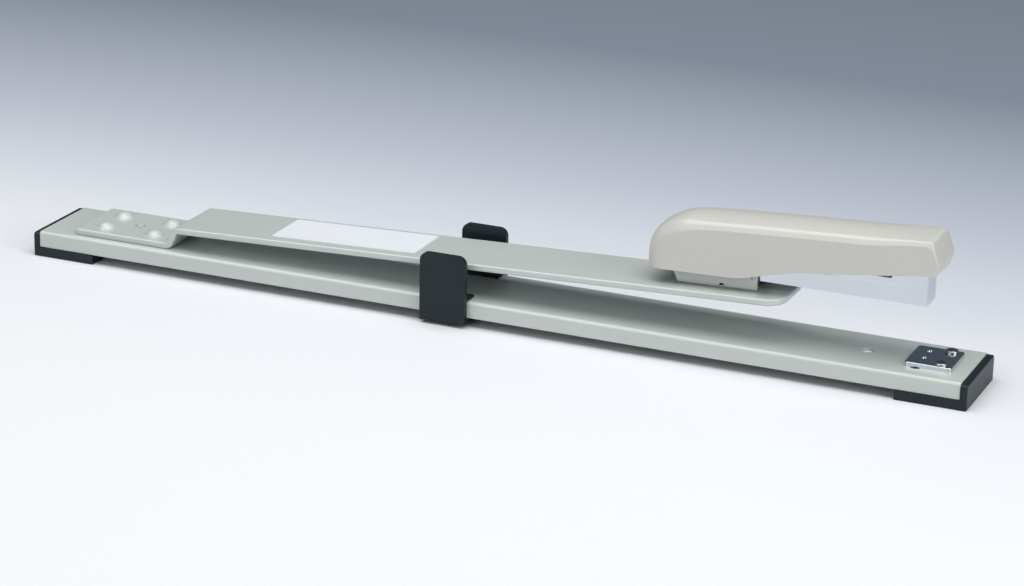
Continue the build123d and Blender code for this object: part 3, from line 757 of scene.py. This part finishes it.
# ---- stage ------------------------------------------------------------------------------------------
def floor():
    size = 6.0
    mesh = bpy.data.meshes.new("floor")
    corners = [(-size, -size, 0), (size, -size, 0), (size, size, 0), (-size, size, 0)]
    mesh.from_pydata(corners, [], [(0, 1, 2, 3)])
    piece = bpy.data.objects.new("floor", mesh)
    bpy.context.collection.objects.link(piece)
    material = bpy.data.materials.new("studio_floor_painted_falloff")
    material.use_nodes = True
    tree = material.node_tree
    shader = tree.nodes["Principled BSDF"]
    shader.inputs["Roughness"].default_value = 0.7
    shader.inputs["Specular IOR Level"].default_value = 0.2
    # The floor's colour darkens along Y, from light grey in front of the stapler to dark blue-grey behind
    # it: painted shade standing in for the light falling off towards the back.
    place = tree.nodes.new("ShaderNodeTexCoord")
    parts = tree.nodes.new("ShaderNodeSeparateXYZ")
    reach = tree.nodes.new("ShaderNodeMapRange")
    reach.inputs["From Min"].default_value = -0.15
    reach.inputs["From Max"].default_value = 0.45
    ramp = tree.nodes.new("ShaderNodeValToRGB")
    painted_falloff_stops = [(0.0, (0.75, 0.755, 0.765)), (0.3, (0.7, 0.71, 0.74)), (0.6, (0.46, 0.49, 0.55)),
             (1.0, (0.23, 0.262, 0.317))]
    ramp.color_ramp.elements[0].position, ramp.color_ramp.elements[1].position = painted_falloff_stops[0][0], painted_falloff_stops[-1][0]
    for position, color in painted_falloff_stops[1:-1]:
        ramp.color_ramp.elements.new(position)
    for element, (position, color) in zip(ramp.color_ramp.elements, painted_falloff_stops):
        element.color = (*color, 1)
    tree.links.new(place.outputs["Object"], parts.inputs["Vector"])
    tree.links.new(parts.outputs["Y"], reach.inputs["Value"])
    tree.links.new(reach.outputs["Result"], ramp.inputs["Fac"])
    tree.links.new(ramp.outputs["Color"], shader.inputs["Base Color"])
    mesh.materials.append(material)


def panel(name, place, aim, size, power, color=(1, 1, 1)):
    """A soft rectangular light."""
    data = bpy.data.lights.new(name, "AREA")
    data.shape = "RECTANGLE"
    data.size, data.size_y = size
    data.energy = power
    data.color = color
    lamp = bpy.data.objects.new(name, data)
    lamp.location = place
    lamp.rotation_mode = "QUATERNION"
    lamp.rotation_quaternion = (Vector(aim) - Vector(place)).to_track_quat("-Z", "Y")
    bpy.context.collection.objects.link(lamp)


def surroundings():
    world = bpy.data.worlds.new("studio")
    world.use_nodes = True
    world.node_tree.nodes["Background"].inputs["Color"].default_value = (0.085, 0.105, 0.125, 1)
    bpy.context.scene.world = world
    panel("overhead", (0.0, -0.15, 1.25), (0.0, 0.0, 0.0), (1.9, 1.1), 21.5)
    panel("front", (-0.5, -1.7, 0.9), (0.0, 0.0, 0.03), (1.6, 1.0), 8.4)
    panel("right", (1.7, -0.5, 0.8), (0.1, 0.0, 0.03), (1.0, 1.0), 14.0)


AIM = (9.57, 0.0, 11.58)
DISTANCE = 1416.25
AZIMUTH, ELEVATION, ROLL = 23.0, 19.463, 1.213
SENSOR, LENS = 36.0, 111.646


def camera():
    azimuth, elevation, roll = (math.radians(v) for v in (AZIMUTH, ELEVATION, ROLL))
    ahead = Vector((-math.sin(azimuth) * math.cos(elevation), math.cos(azimuth) * math.cos(elevation),
                    -math.sin(elevation)))
    right = ahead.cross(Vector((0, 0, 1))).normalized()
    up = right.cross(ahead)
    across = right * math.cos(roll) + up * math.sin(roll)
    above = up * math.cos(roll) - right * math.sin(roll)
    data = bpy.data.cameras.new("camera")
    data.sensor_width = SENSOR
    data.lens = LENS
    data.clip_start, data.clip_end = 0.05, 30
    eye = bpy.data.objects.new("camera", data)
    turn = Matrix((across, above, -ahead)).transposed().to_4x4()
    eye.matrix_world = Matrix.Translation((Vector(AIM) - ahead * DISTANCE) * MM) @ turn
    bpy.context.collection.objects.link(eye)
    bpy.context.scene.camera = eye


floor()
surroundings()
camera()
bpy.context.scene.view_settings.view_transform = "Standard"
